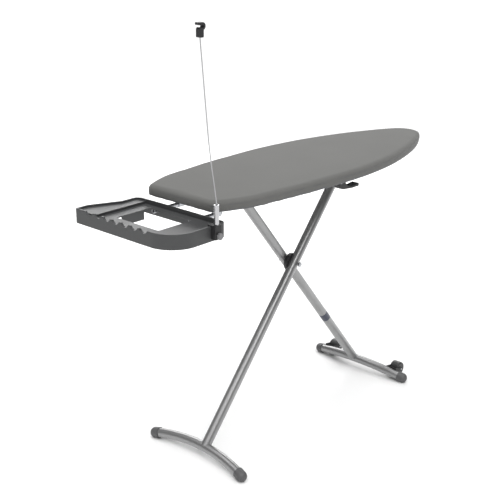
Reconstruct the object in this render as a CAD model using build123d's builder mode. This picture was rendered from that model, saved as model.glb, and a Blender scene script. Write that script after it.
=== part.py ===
from build123d import *
import os
from math import asin, cos, radians, sin, sqrt

# Folding ironing board on a crossed pair of tube legs, in millimetres.
# +X points to the narrow nose, +Z up; the origin is on the floor under the middle
# of the whole length, from the nose to the far end of the iron tray.

os.makedirs("parts", exist_ok=True)

# Board
board_length = 1131
board_width = 400
board_top = 832.5
board_thickness = 29
cover_thickness = 1.5
cover_hem = 42
hem_gap = 3
pad_thickness = 8.5
deck_thickness = 1.5
rim_width = 12
brace_height = 10
brace_width = 28
brace_wall = 1.5
blunt_corner = 28
nose_radius = 62
nose_turn = 61
flank_samples = 28

# Legs
nose_to_pivot = 656
leg_angle = 50.1
lower_leg = 621.3
hinge_drop = 48.5
leg_tube = 30
leg_wall = 1.5
leg_gap = 4
leg_end = 14
foot_tube = 29
foot_span = 359
foot_sag = 27
cap_radius = 16.5
cap_flat = 1.0
cap_grip = 18
fold_up = 8
fold_flat = 44

# Hinges, slide and lock
axle = 12
pin = 8
tie_rod = 6
running_gap = 0.05
slide_gap = 0.35
bracket_gap = 0.5
rail_spacing = 116
rail_height = 22
rail_flange = 12
rail_sheet = 1.5
rail_end_margin = 42
shoe_length = 60
shoe_width = 10
shoe_axle_offset = 20
bracket_sheet = 3
rack_reach = 310
rack_height = 14
rack_thickness = 3
rack_pitch = 15
rack_tooth = 4
rack_drop = 6
lock_clearance = 0.4
lever_to_pivot = 37
lever_axis_drop = 42.5
lever_y = -146
lever_length = 90
lever_width = 24
spacer_radius = 29
bolt_overhang = 12

# Wheels
wheel_diameter = 46
wheel_width = 32
wheel_y = 134
wheel_gap = 2.5
wheel_lift = 5
cheek = 3
saddle = 4

# Iron tray
tray_reach = 195
tray_gap = 4
tray_near = -180
tray_far = 155
tray_ear = 192
tray_top = 795
tray_height = 40
tray_wall = 3
tray_lip = 12
tray_floor = 3
window_length = 117
window_width = 160
window_middle = -2
notch_count = 7
notch_pitch = 35
notch_radius = 15
notch_depth = 9
ledge_width = 38
ledge_height = 7
arm_spacing = 140
arm_tube = 12
arm_under_board = 90
hanger_from_end = 16
hanger_length = 20

# Flex holder
holder_from_blunt = 50
jaw_width = 24
jaw_height = 37
jaw_thickness = 17
jaw_hook = 4
knob_diameter = 17
knob_thickness = 7.5
socket_diameter = 13
socket_height = 68
socket_wall = 1.5
flex_rod = 3
ferrule_length = 60
flex_rod_rise = 412
flex_rod_lean = 53
flex_bend_rise = 150
flex_bend_lean = 25
clip_neck = 22
clip_width = 14
clip_ring = 9
clip_bore = 3.5
clip_arm = 14
clip_shift = 4
clip_thickness = 12

# Places worked out from the sizes
overall = board_length + tray_reach
nose_x = overall / 2
blunt_x = nose_x - board_length
tray_x = -overall / 2
pivot_x = nose_x - nose_to_pivot
half_width = board_width / 2
board_under = board_top - board_thickness
deck_top = board_top - cover_thickness - pad_thickness
deck_under = deck_top - deck_thickness
brace_under = deck_under - brace_height

tilt = radians(leg_angle)
cap_z = cap_radius - cap_flat
foot_z = cap_z + foot_sag * sin(tilt)
pivot_z = foot_z + lower_leg * sin(tilt)
hinge_z = board_top - hinge_drop
upper_leg = (hinge_z - pivot_z) / sin(tilt)
reach = upper_leg * cos(tilt)
top_b_x = pivot_x - reach
top_a_x = pivot_x + reach
leg_y = (leg_tube + leg_gap) / 2


def carriage_travel(fold):
    """How far the sliding top of leg A moves towards the nose at a fold angle."""
    return 2 * upper_leg * (cos(radians(leg_angle - fold)) - cos(tilt))


travel_up = carriage_travel(-fold_up)
travel_flat = carriage_travel(fold_flat)
rail_x0 = top_a_x + travel_up - rail_end_margin + shoe_axle_offset
rail_x1 = top_a_x + travel_flat + rail_end_margin
rail_y = rail_spacing / 2
lever_x = pivot_x + lever_to_pivot
lever_z = board_top - lever_axis_drop


def save(builder, name):
    """Label a finished piece and write its STEP file."""
    builder.part.label = name
    export_step(builder.part, f"parts/{name}.step")


def flank_stations():
    """Points (x, half width) down one long side, from the blunt end to the nose arc."""
    shares = [(0, 0.58), (0.037, 0.725), (0.071, 0.80), (0.1, 0.85), (0.1415, 0.88), (0.1795, 0.90)]
    shares += [(0.2617, 0.95), (0.373, 0.985), (0.4775, 1.0), (0.5606, 0.975), (0.6286, 0.93)]
    shares += [(0.709, 0.84), (0.81, 0.68), (0.8815, 0.53)]
    turn = radians(nose_turn)
    end = (nose_x - nose_radius * (1 - cos(turn)), nose_radius * sin(turn))
    return [(blunt_x + u * board_length, v * half_width) for u, v in shares] + [end]


def half_width_at(x):
    """Half width of the board at x, read straight between the flank's stations."""
    points = flank_stations() + [(nose_x, 0)]
    for (x0, w0), (x1, w1) in zip(points, points[1:]):
        if x0 <= x <= x1:
            return w0 + (w1 - w0) * (x - x0) / (x1 - x0)
    return 0


def inset_flank(inset):
    """Points down one long side after drawing it in by inset, ending at the nose arc."""
    flank = Edge.make_spline([Vector(x, y) for x, y in flank_stations()])
    points = []
    for i in range(flank_samples + 1):
        place, along = flank.position_at(i / flank_samples), flank.tangent_at(i / flank_samples)
        points.append((place.X + along.Y * inset, place.Y - along.X * inset))
    end_x = blunt_x + inset
    (x0, y0), (x1, y1) = [p for p in points if p[0] > end_x + inset / 4][:2]
    start = (end_x, y0 - (x0 - end_x) * (y1 - y0) / (x1 - x0))
    return [start] + [p for p in points if p[0] > end_x + flank_samples / 4]


def board_face(inset=0.0):
    """The board's outline as a face on the floor plane, drawn in by inset."""
    side = inset_flank(inset)
    radius = nose_radius - inset
    half_turn = radians(nose_turn / 2)
    bulge = (nose_x - nose_radius + radius * cos(half_turn), radius * sin(half_turn))
    with BuildSketch(Plane.XY, mode=Mode.PRIVATE) as outline:
        with BuildLine():
            Line((blunt_x + inset, 0), side[0])
            Spline(*side)
            ThreePointArc(side[-1], bulge, (nose_x - inset, 0))
            mirror(about=Plane.XZ)
        make_face()
        fillet(outline.vertices().group_by(Axis.X)[0], radius=max(blunt_corner - inset, 1))
    return outline.sketch


def leg_plane(x, y, z, way):
    """Plane at a point of a leg: local X runs down the leg, local Y along the board's Y.

    way is -1 for leg A, whose foot is at the tray end, and +1 for leg B.
    """
    down = Vector(way * cos(tilt), 0, -sin(tilt))
    across = Vector(0, 1, 0)
    return Plane(origin=(x, y, z), x_dir=down, z_dir=down.cross(across))


# ---------------------------------------------------------------- board top
with BuildPart() as cover:
    with BuildSketch(Plane.XY.offset(board_under)):
        add(board_face())
    extrude(amount=board_thickness)
    fillet(cover.faces().group_by(Axis.Z)[-1].edges(), radius=5)
    fillet(cover.faces().group_by(Axis.Z)[0].edges(), radius=5)
    with BuildSketch(Plane.XY.offset(board_under + cover_thickness)):
        add(board_face(cover_thickness))
    extrude(amount=board_thickness - 2 * cover_thickness, mode=Mode.SUBTRACT)
    with BuildSketch(Plane.XY.offset(board_under)):
        add(board_face(cover_hem))
        with Locations(((rail_x0 + rail_x1) / 2, 0)):
            Rectangle(rail_x1 - rail_x0 + 2 * hem_gap, 2 * (rail_y + rail_sheet + hem_gap))
    extrude(amount=cover_thickness, mode=Mode.SUBTRACT)
save(cover, "cover")

with BuildPart() as pad:
    with BuildSketch(Plane.XY.offset(deck_top)):
        add(board_face(cover_thickness))
    extrude(amount=pad_thickness)
    fillet(pad.faces().group_by(Axis.Z)[-1].edges(), radius=4)
save(pad, "pad")

mesh_pitch_x, mesh_pitch_y, mesh_hex = 38, 32, 11
mesh_edge = 45
with BuildPart() as deck:
    with BuildSketch(Plane.XY.offset(deck_under)):
        add(board_face(cover_thickness))
        columns = int(board_length / mesh_pitch_x)
        rows = int(half_width / mesh_pitch_y)
        spots = []
        for i in range(columns):
            x = blunt_x + (i + 0.5) * mesh_pitch_x
            for j in range(-rows, rows + 1):
                y = (j + 0.5 * (i % 2)) * mesh_pitch_y
                room = min(half_width_at(x - mesh_hex), half_width_at(x + mesh_hex)) - mesh_edge
                if abs(y) < room and blunt_x + mesh_edge < x < nose_x - 2 * mesh_edge:
                    spots.append((x, y))
        with Locations(*spots):
            RegularPolygon(radius=mesh_hex, side_count=6, mode=Mode.SUBTRACT)
    extrude(amount=deck_thickness)
save(deck, "deck")

rim_under = board_under + cover_thickness
with BuildPart() as rim_frame:
    with BuildSketch(Plane.XY.offset(rim_under)):
        add(board_face(cover_thickness + 0.5))
        add(board_face(cover_thickness + 0.5 + rim_width), mode=Mode.SUBTRACT)
    extrude(amount=deck_under - rim_under)
save(rim_frame, "rim_frame")

brace_inset = cover_thickness + 0.5 + rim_width
brace_places = {
    "tail_brace": blunt_x + arm_under_board - hanger_from_end,
    "rear_brace": top_b_x,
    "middle_brace": lever_x,
    "rail_brace": rail_x0 + brace_width,
    "front_brace": rail_x1 - brace_width,
}
for name, place in brace_places.items():
    with BuildPart() as brace:
        with BuildSketch(Plane.XY.offset(brace_under)):
            add(board_face(brace_inset))
        extrude(amount=brace_height)
        with BuildSketch(Plane.YZ.offset(place - brace_width / 2)):
            with Locations((0, brace_under + brace_height / 2)):
                Rectangle(board_width, brace_height)
        extrude(amount=brace_width, mode=Mode.INTERSECT)
        with BuildSketch(Plane.XZ.offset(-half_width)):
            with Locations((place, brace_under + brace_height / 2)):
                Rectangle(brace_width - 2 * brace_wall, brace_height - 2 * brace_wall)
        extrude(amount=board_width, mode=Mode.SUBTRACT)
    save(brace, name)

# ---------------------------------------------------------------- slide rails and brackets
rail_z0 = hinge_z - rail_height / 2
rail_z1 = hinge_z + rail_height / 2
for side, name in ((-1, "near_rail"), (1, "far_rail")):
    web_y = side * (rail_y + rail_sheet / 2)
    with BuildPart() as rail:
        with BuildSketch(Plane.YZ.offset(rail_x0)):
            with Locations((web_y, (rail_z0 + brace_under) / 2)):
                Rectangle(rail_sheet, brace_under - rail_z0 + 2 * rail_sheet, align=Align.CENTER)
            with Locations((side * (rail_y - rail_flange / 2 + rail_sheet / 2), rail_z0 - rail_sheet / 2)):
                Rectangle(rail_flange + rail_sheet, rail_sheet)
            with Locations((side * (rail_y - rail_flange / 2 + rail_sheet / 2), rail_z1 + rail_sheet / 2)):
                Rectangle(rail_flange + rail_sheet, rail_sheet)
            with Locations((side * (rail_y + rail_flange / 2), brace_under - rail_sheet / 2)):
                Rectangle(rail_flange, rail_sheet)
            with Locations((web_y, brace_under + rail_sheet)):
                Rectangle(2 * rail_sheet, 2 * rail_sheet, mode=Mode.SUBTRACT)
        extrude(amount=rail_x1 - rail_x0)
    save(rail, name)

bracket_y = rail_y - 8
for side, name in ((-1, "near_hinge_bracket"), (1, "far_hinge_bracket")):
    inner = side * bracket_y
    with BuildPart() as bracket:
        with BuildSketch(Plane.XZ.offset(-min(inner, inner + side * bracket_sheet))):
            with Locations((top_b_x, (hinge_z + brace_under) / 2)):
                Rectangle(2 * axle, brace_under - hinge_z)
            with Locations((top_b_x, hinge_z)):
                Circle(axle)
                Circle(axle / 2 + running_gap, mode=Mode.SUBTRACT)
        extrude(amount=-bracket_sheet)
        with BuildSketch(Plane.XY.offset(brace_under)):
            with Locations((top_b_x, inner + side * brace_width / 4)):
                Rectangle(2 * axle, brace_width / 2)
        extrude(amount=-bracket_sheet)
    save(bracket, name)

lever_bracket_y = rail_y - rail_flange
for side, name in ((-1, "near_lever_bracket"), (1, "far_lever_bracket")):
    inner = side * lever_bracket_y
    with BuildPart() as bracket:
        with BuildSketch(Plane.XZ.offset(-min(inner, inner + side * bracket_sheet))):
            with Locations((lever_x, (lever_z + brace_under) / 2)):
                Rectangle(2 * pin, brace_under - lever_z)
            with Locations((lever_x, lever_z)):
                Circle(pin)
                Circle(pin / 2 + running_gap, mode=Mode.SUBTRACT)
        extrude(amount=-bracket_sheet)
        with BuildSketch(Plane.XY.offset(brace_under)):
            with Locations((lever_x, inner + side * pin)):
                Rectangle(2 * pin, 2 * pin)
        extrude(amount=-bracket_sheet)
    save(bracket, name)

screw_head, screw_thick = 4.5, 2.5
screw_spots = []
for side in (-1, 1):
    flange = side * (rail_y + rail_flange * 0.6)
    screw_spots += [(brace_places["rail_brace"], flange, rail_sheet), (brace_places["front_brace"], flange, rail_sheet)]
    screw_spots += [(top_b_x, side * (bracket_y + bracket_sheet + screw_head + 1), bracket_sheet)]
    screw_spots += [(lever_x, side * (lever_bracket_y + bracket_sheet + screw_head + 1), bracket_sheet)]
with BuildPart() as frame_screws:
    for x, y, sheet in screw_spots:
        with BuildSketch(Plane.XY.offset(brace_under - sheet)):
            with Locations((x, y)):
                Circle(screw_head)
        extrude(amount=-screw_thick)
    chamfer(frame_screws.faces().filter_by(Axis.Z).edges().group_by(Axis.Z)[0], length=0.8)
save(frame_screws, "frame_screws")

# ---------------------------------------------------------------- legs
foot_radius = ((foot_span / 2) ** 2 + foot_sag**2) / (2 * foot_sag)


def foot_arc_point(y):
    """How far down the leg the bent foot bar's axis lies at a distance y from its middle."""
    return foot_radius - sqrt(foot_radius**2 - y**2)


def leg_foot(way):
    """Middle of a leg's foot bar, on the board's centre plane."""
    return pivot_x + way * lower_leg * cos(tilt), 0, foot_z


def bent_bar(way, radius, bore):
    """A foot bar: a round tube bent to an arc whose ends reach the floor."""
    plane = leg_plane(*leg_foot(way), way)
    ends = foot_span / 2
    with BuildPart(mode=Mode.PRIVATE) as bar:
        with BuildLine(plane) as path:
            ThreePointArc((foot_sag, -ends), (0, 0), (foot_sag, ends))
        with BuildSketch(Plane(origin=path.line @ 0, z_dir=path.line % 0)):
            Circle(radius)
            if bore:
                Circle(bore, mode=Mode.SUBTRACT)
        sweep()
    return bar.part


for way, leg in ((-1, "leg_a"), (1, "leg_b")):
    y = way * leg_y
    axis_plane = leg_plane(pivot_x, y, pivot_z, way)
    down = axis_plane.x_dir
    top_end = Vector(pivot_x, y, pivot_z) - down * (upper_leg + leg_end)
    with BuildPart() as tube:
        with BuildSketch(Plane(origin=top_end, z_dir=down)):
            Circle(leg_tube / 2)
            Circle(leg_tube / 2 - leg_wall, mode=Mode.SUBTRACT)
        extrude(amount=upper_leg + leg_end + lower_leg)
        add(bent_bar(way, foot_tube / 2, 0), mode=Mode.SUBTRACT)
        with Locations((pivot_x - way * reach, 0, hinge_z)):
            Cylinder(axle / 2, board_width, rotation=(90, 0, 0), mode=Mode.SUBTRACT)
        bolt_hole = pin / 2 if way < 0 else pin / 2 + 2
        with Locations((pivot_x, 0, pivot_z)):
            Cylinder(bolt_hole, board_width, rotation=(90, 0, 0), mode=Mode.SUBTRACT)
    save(tube, f"{leg}_tube")

    with BuildPart() as plug:
        with BuildSketch(Plane(origin=top_end, z_dir=-down)):
            Circle(leg_tube / 2)
        extrude(amount=2.5)
        fillet(plug.edges().filter_by(GeomType.CIRCLE).sort_by(Axis.Z)[-1], radius=1.5)
        with BuildSketch(Plane(origin=top_end, z_dir=down)):
            Circle(leg_tube / 2 - leg_wall)
        extrude(amount=leg_end - axle / 2 - 1)
    save(plug, f"{leg}_top_plug")

    with BuildPart() as bar:
        add(bent_bar(way, foot_tube / 2, foot_tube / 2 - leg_wall))
    save(bar, f"{leg}_foot_bar")

    plane = leg_plane(*leg_foot(way), way)
    lean = asin(foot_span / 2 / foot_radius)
    for side, where in ((-1, "near"), (1, "far")):
        end = plane.from_local_coords((foot_sag, side * foot_span / 2, 0))
        tangent = plane.x_dir * sin(lean) + Vector(0, side, 0) * cos(lean)
        with BuildPart() as cap:
            with BuildSketch(Plane(origin=end - tangent * cap_grip, z_dir=tangent)):
                Circle(cap_radius)
            extrude(amount=cap_grip)
            with Locations(end):
                Sphere(cap_radius)
            add(bent_bar(way, foot_tube / 2, 0), mode=Mode.SUBTRACT)
            with Locations((end.X, end.Y, -cap_radius)):
                Box(4 * cap_radius, 4 * cap_radius, 2 * cap_radius, mode=Mode.SUBTRACT)
        save(cap, f"{leg}_{where}_foot_cap")

crossbar_half = {"leg_a": rail_y - 1, "leg_b": bracket_y + bracket_sheet + bracket_gap + 4}
for way, leg in ((-1, "leg_a"), (1, "leg_b")):
    with BuildPart() as crossbar:
        with Locations((pivot_x - way * reach, 0, hinge_z)):
            Cylinder(axle / 2, 2 * crossbar_half[leg], rotation=(90, 0, 0))
        chamfer(crossbar.edges().filter_by(GeomType.CIRCLE), length=0.6)
    save(crossbar, f"{leg}_crossbar")

with BuildPart() as retaining_caps:
    for side in (-1, 1):
        with BuildSketch(Plane.XZ.offset(-side * (bracket_y + bracket_sheet + bracket_gap))):
            with Locations((top_b_x, hinge_z)):
                Circle(axle * 0.85)
                Circle(axle / 2, mode=Mode.SUBTRACT)
        extrude(amount=-side * 3)
save(retaining_caps, "retaining_caps")

# ---------------------------------------------------------------- crossing pivot
with BuildPart() as pivot_bush:
    with BuildSketch(Plane.XZ.offset(-slide_gap)):
        with Locations((pivot_x, pivot_z)):
            Circle(pin / 2 + 2)
            Circle(pin / 2 + running_gap, mode=Mode.SUBTRACT)
    extrude(amount=-(leg_gap / 2 + leg_tube + 0.5 - slide_gap))
save(pivot_bush, "pivot_bush")

with BuildPart() as pivot_spacer:
    with BuildSketch(Plane.XZ):
        with Locations((pivot_x, pivot_z)):
            Circle(spacer_radius)
            Circle(pin / 2, mode=Mode.SUBTRACT)
    extrude(amount=leg_tube / 3)
    plane = leg_plane(pivot_x, -leg_y, pivot_z, -1)
    with BuildSketch(Plane(origin=Vector(pivot_x, -leg_y, pivot_z) - plane.x_dir * 50, z_dir=plane.x_dir)):
        Circle(leg_tube / 2)
    extrude(amount=100, mode=Mode.SUBTRACT)
save(pivot_spacer, "pivot_spacer")

bolt_front = -leg_y - leg_tube / 2 - bolt_overhang
bolt_back = leg_y + leg_tube / 2 + 9
with BuildPart() as pivot_bolt:
    with BuildSketch(Plane.XZ.offset(-bolt_back)):
        with Locations((pivot_x, pivot_z)):
            Circle(pin / 2)
    extrude(amount=bolt_back - bolt_front)
    chamfer(pivot_bolt.edges().filter_by(GeomType.CIRCLE), length=0.8)
save(pivot_bolt, "pivot_bolt")

with BuildPart() as pivot_nuts:
    with BuildSketch(Plane.XZ.offset(-(leg_y + leg_tube / 2 + 1))):
        with Locations((pivot_x, pivot_z)):
            RegularPolygon(radius=7.5, side_count=6)
            Circle(pin / 2, mode=Mode.SUBTRACT)
    extrude(amount=-6.5)
    with BuildSketch(Plane.XZ.offset(-bolt_front - 6)):
        with Locations((pivot_x, pivot_z)):
            RegularPolygon(radius=7.5, side_count=6)
            Circle(pin / 2, mode=Mode.SUBTRACT)
    extrude(amount=5)
save(pivot_nuts, "pivot_nuts")

# ---------------------------------------------------------------- carriage
shoe_x0 = top_a_x - shoe_axle_offset
tie_x = shoe_x0 + shoe_length - 10
for side, name in ((-1, "near_shoe"), (1, "far_shoe")):
    outer = side * (rail_y - slide_gap)
    with BuildPart() as shoe:
        with BuildSketch(Plane.YZ.offset(shoe_x0)):
            with Locations((outer - side * shoe_width / 2, hinge_z)):
                RectangleRounded(shoe_width, rail_height - 2 * slide_gap, 2)
        extrude(amount=shoe_length)
        with Locations((top_a_x, 0, hinge_z)):
            Cylinder(axle / 2 + running_gap, board_width, rotation=(90, 0, 0), mode=Mode.SUBTRACT)
        with Locations((tie_x, 0, hinge_z)):
            Cylinder(tie_rod / 2, board_width, rotation=(90, 0, 0), mode=Mode.SUBTRACT)
    save(shoe, name)

with BuildPart() as carriage_tie:
    with Locations((tie_x, 0, hinge_z)):
        Cylinder(tie_rod / 2, 2 * (rail_y - 2), rotation=(90, 0, 0))
save(carriage_tie, "carriage_tie")

rack_top = hinge_z - rack_drop
rack_x0 = top_a_x - rack_reach
rack_first = top_a_x - 80
tooth_count = int((rack_first - rack_x0 - rack_pitch) / rack_pitch)
with BuildPart() as height_rack:
    with BuildSketch(Plane.XZ.offset(-rack_thickness / 2)):
        with Locations(((rack_x0 + top_a_x) / 2, rack_top - rack_height / 2)):
            Rectangle(top_a_x - rack_x0, rack_height)
        with Locations(((top_a_x + tie_x) / 2, hinge_z)):
            Rectangle(tie_x - top_a_x, 2 * axle / 2 + 8)
        with Locations((top_a_x, hinge_z)):
            Circle(axle / 2 + 8)
        with Locations((tie_x, hinge_z)):
            Circle(tie_rod / 2 + 4)
        with Locations((top_a_x, hinge_z)):
            Circle(axle / 2 + running_gap, mode=Mode.SUBTRACT)
        with Locations((tie_x, hinge_z)):
            Circle(tie_rod / 2, mode=Mode.SUBTRACT)
        for i in range(tooth_count):
            x = rack_first - (i + 1) * rack_pitch
            with BuildLine():
                Polyline(
                    (x, rack_top + 1),
                    (x, rack_top - rack_tooth),
                    (x + rack_pitch * 0.3, rack_top - rack_tooth),
                    (x + rack_pitch * 0.75, rack_top),
                    (x + rack_pitch * 0.75, rack_top + 1),
                    close=True,
                )
            make_face(mode=Mode.SUBTRACT)
    extrude(amount=rack_thickness)
save(height_rack, "height_rack")

# ---------------------------------------------------------------- release lever
with BuildPart() as lever_rod:
    rod_near = lever_y - lever_width / 2 - 2
    rod_far = lever_bracket_y + bracket_sheet + 3
    with BuildSketch(Plane.XZ.offset(-rod_far)):
        with Locations((lever_x, lever_z)):
            Circle(pin / 2)
    extrude(amount=rod_far - rod_near)
    chamfer(lever_rod.edges().filter_by(GeomType.CIRCLE), length=0.6)
save(lever_rod, "lever_rod")

grip_drop = 24
with BuildPart() as lever_paddle:
    with BuildSketch(Plane.XZ.offset(-lever_y - lever_width / 2)):
        with BuildLine():
            top = Spline(
                (lever_x, lever_z + 9),
                (lever_x + 30, lever_z - 12),
                (lever_x + lever_length - 5, lever_z - grip_drop + 7),
                tangents=[(1, 0), (1, 0.1)],
            )
            nose = ThreePointArc(
                top @ 1,
                (lever_x + lever_length, lever_z - grip_drop + 1),
                (lever_x + lever_length - 6, lever_z - grip_drop - 4),
            )
            under = Spline(
                nose @ 1,
                (lever_x + 25, lever_z - grip_drop - 1),
                (lever_x - 9, lever_z),
                tangents=[(-1, -0.05), (0, 1)],
            )
            ThreePointArc(under @ 1, (lever_x - 6.4, lever_z + 6.4), top @ 0)
        make_face()
        with Locations((lever_x, lever_z)):
            Circle(pin / 2, mode=Mode.SUBTRACT)
    extrude(amount=lever_width)
    fillet(lever_paddle.faces().filter_by(Axis.Y).edges().filter_by(GeomType.BSPLINE), radius=2.5)
save(lever_paddle, "lever_paddle")

pawl_x = 25
pawl_thickness = 8
with BuildPart() as lock_pawl:
    with BuildSketch(Plane.XZ.offset(-pawl_thickness / 2)):
        with Locations((lever_x, lever_z)):
            Circle(pin)
        with BuildLine():
            Polyline(
                (lever_x, lever_z + pin),
                (lever_x + pawl_x, lever_z - 3),
                (lever_x + pawl_x, rack_top + lock_clearance),
                (lever_x + pawl_x - 5, rack_top + lock_clearance),
                (lever_x + pawl_x - 9, lever_z - pin + 1),
                (lever_x, lever_z - pin),
                close=True,
            )
        make_face()
        with Locations((lever_x, lever_z)):
            Circle(pin / 2, mode=Mode.SUBTRACT)
    extrude(amount=pawl_thickness)
save(lock_pawl, "lock_pawl")

# ---------------------------------------------------------------- wheels
bar_down = foot_arc_point(wheel_y)
foot_b = leg_foot(1)
bar_x = foot_b[0] + bar_down * cos(tilt)
bar_z = foot_b[2] - bar_down * sin(tilt)
wheel_distance = foot_tube / 2 + wheel_gap + wheel_diameter / 2
wheel_x = bar_x + wheel_distance * cos(radians(wheel_lift))
wheel_z = bar_z + wheel_distance * sin(radians(wheel_lift))
for side, where in ((-1, "near"), (1, "far")):
    middle = side * wheel_y
    with BuildPart() as wheel:
        with BuildSketch(Plane.XZ.offset(-middle - wheel_width / 2)):
            with Locations((wheel_x, wheel_z)):
                Circle(wheel_diameter / 2)
                Circle(tie_rod / 2 + running_gap, mode=Mode.SUBTRACT)
        extrude(amount=wheel_width)
        rims = wheel.edges().filter_by(GeomType.CIRCLE).filter_by(lambda e: e.radius > wheel_diameter / 4)
        fillet(rims, radius=4)
    save(wheel, f"{where}_wheel")

    with BuildPart() as axle_pin:
        with BuildSketch(Plane.XZ.offset(-middle - wheel_width / 2 - cheek - 1)):
            with Locations((wheel_x, wheel_z)):
                Circle(tie_rod / 2)
        extrude(amount=wheel_width + 2 * cheek + 2)
    save(axle_pin, f"{where}_wheel_axle")

    with BuildPart() as carrier:
        for face_y in (middle - wheel_width / 2 - bracket_gap, middle + wheel_width / 2 + bracket_gap + cheek):
            with BuildSketch(Plane.XZ.offset(-face_y)):
                with Locations((bar_x, bar_z)):
                    Circle(foot_tube / 2 + saddle)
                with Locations((wheel_x, wheel_z)):
                    Circle(tie_rod / 2 + 4)
                make_hull()
                with Locations((wheel_x, wheel_z)):
                    Circle(tie_rod / 2, mode=Mode.SUBTRACT)
            extrude(amount=cheek)
        with BuildSketch(Plane.XZ.offset(-middle - wheel_width / 2 - bracket_gap)):
            with Locations((bar_x, bar_z)):
                Circle(foot_tube / 2 + saddle)
            with Locations((wheel_x, wheel_z)):
                Circle(wheel_diameter / 2 + wheel_gap, mode=Mode.SUBTRACT)
        extrude(amount=wheel_width + 2 * bracket_gap)
        add(bent_bar(1, foot_tube / 2, 0), mode=Mode.SUBTRACT)
        with BuildSketch(Plane.XZ.offset(-middle - wheel_width)):
            with Locations((bar_x + saddle - foot_tube, bar_z)):
                Rectangle(2 * foot_tube, 4 * foot_tube)
        extrude(amount=2 * wheel_width, mode=Mode.SUBTRACT)
    save(carrier, f"{where}_wheel_carrier")

# ---------------------------------------------------------------- leg label
label_up = 312
with BuildPart() as leg_label:
    spot = Vector(pivot_x, leg_y, pivot_z) + leg_plane(0, 0, 0, 1).x_dir * label_up
    down = leg_plane(0, 0, 0, 1).x_dir
    with BuildSketch(Plane(origin=spot, z_dir=down)):
        Circle(leg_tube / 2 + 0.3)
        Circle(leg_tube / 2, mode=Mode.SUBTRACT)
    extrude(amount=34)
    with Locations((spot + down * 17 + Vector(0, leg_tube * 0.75, 0))):
        Box(4 * leg_tube, leg_tube * 1.3, 4 * leg_tube, mode=Mode.SUBTRACT)
save(leg_label, "leg_label")

# ---------------------------------------------------------------- iron tray
tray_x1 = blunt_x - tray_gap
tray_under = tray_top - tray_height
floor_under = tray_top - tray_lip - tray_floor
arm_z = floor_under - arm_tube / 2


def tray_face(inset=0.0):
    """The tray's outline: one big round corner near, one flared corner far."""
    with BuildSketch(Plane.XY, mode=Mode.PRIVATE) as outline:
        with BuildLine():
            Polyline(
                (tray_x1, tray_near),
                (tray_x1, tray_far),
                (tray_x + 130, tray_far),
                (tray_x + 42, tray_ear),
                (tray_x, tray_ear),
                (tray_x, tray_near),
                close=True,
            )
        make_face()
        corners = outline.vertices()
        fillet(corners.sort_by(Axis.X)[:2].sort_by(Axis.Y)[0], radius=78)
        fillet(outline.vertices().group_by(Axis.X)[-1].sort_by(Axis.Y)[0], radius=16)
        fillet(outline.vertices().group_by(Axis.X)[-1].sort_by(Axis.Y)[-1], radius=22)
        fillet(outline.vertices().group_by(Axis.Y)[-1], radius=8)
        if inset:
            offset(amount=-inset, kind=Kind.INTERSECTION)
    return outline.sketch


window_x0 = tray_x + 46
notch_z = tray_top + notch_radius - notch_depth
with BuildPart() as iron_tray:
    with BuildSketch(Plane.XY.offset(tray_under)):
        add(tray_face())
    extrude(amount=tray_height)
    fillet(iron_tray.faces().group_by(Axis.Z)[-1].edges(), radius=2)
    with BuildSketch(Plane.XY.offset(tray_top - tray_lip)):
        add(tray_face(tray_wall + 3))
        with Locations(((tray_x + tray_x1) / 2, tray_far + ledge_width)):
            Rectangle(tray_reach, 4 * ledge_width, mode=Mode.SUBTRACT)
    extrude(amount=tray_lip, mode=Mode.SUBTRACT)
    with BuildSketch(Plane.XY.offset(tray_top - tray_lip + ledge_height)):
        add(tray_face(tray_wall + 3))
    extrude(amount=tray_lip - ledge_height, mode=Mode.SUBTRACT)
    with BuildSketch(Plane.XY.offset(tray_under)):
        add(tray_face(tray_wall))
    extrude(amount=floor_under - tray_under, mode=Mode.SUBTRACT)
    with BuildSketch(Plane.XY.offset(tray_under)):
        with Locations((window_x0 + window_length / 2, window_middle)):
            RectangleRounded(window_length, window_width, 6)
    extrude(amount=tray_height, mode=Mode.SUBTRACT)
    with BuildSketch(Plane.YZ.offset(tray_x - 1)):
        with Locations(*[(tray_far - 22 - i * notch_pitch, notch_z) for i in range(notch_count)]):
            Circle(notch_radius)
    extrude(amount=tray_wall + 5, mode=Mode.SUBTRACT)
    with BuildSketch(Plane.YZ.offset(tray_x1 + 1)):
        with Locations((-arm_spacing / 2, arm_z), (arm_spacing / 2, arm_z)):
            Circle(arm_tube / 2)
    extrude(amount=-tray_wall - 2, mode=Mode.SUBTRACT)
save(iron_tray, "iron_tray")

with BuildPart() as window_lip:
    with BuildSketch(Plane.XY.offset(tray_under)):
        with Locations((window_x0 + window_length / 2, window_middle + window_width / 2 + tray_floor / 2)):
            Rectangle(window_length * 0.66, tray_floor)
    extrude(amount=floor_under - tray_under)
save(window_lip, "tray_hanging_wall")

arm_x1 = blunt_x + arm_under_board
for side, where in ((-1, "near"), (1, "far")):
    y = side * arm_spacing / 2
    with BuildPart() as arm:
        with BuildSketch(Plane.YZ.offset(window_x0 + window_length + 6)):
            with Locations((y, arm_z)):
                Circle(arm_tube / 2)
                Circle(arm_tube / 2 - rail_sheet, mode=Mode.SUBTRACT)
        extrude(amount=arm_x1 - (window_x0 + window_length + 6))
    save(arm, f"{where}_tray_arm")

    with BuildPart() as hanger:
        with BuildSketch(Plane.YZ.offset(arm_x1 - hanger_from_end - hanger_length / 2)):
            with Locations((y, (arm_z + brace_under) / 2)):
                Rectangle(arm_tube + 6, brace_under - arm_z)
            with Locations((y, arm_z)):
                Circle(arm_tube / 2 + 3)
                Circle(arm_tube / 2, mode=Mode.SUBTRACT)
        extrude(amount=hanger_length)
    save(hanger, f"{where}_arm_hanger")

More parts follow.
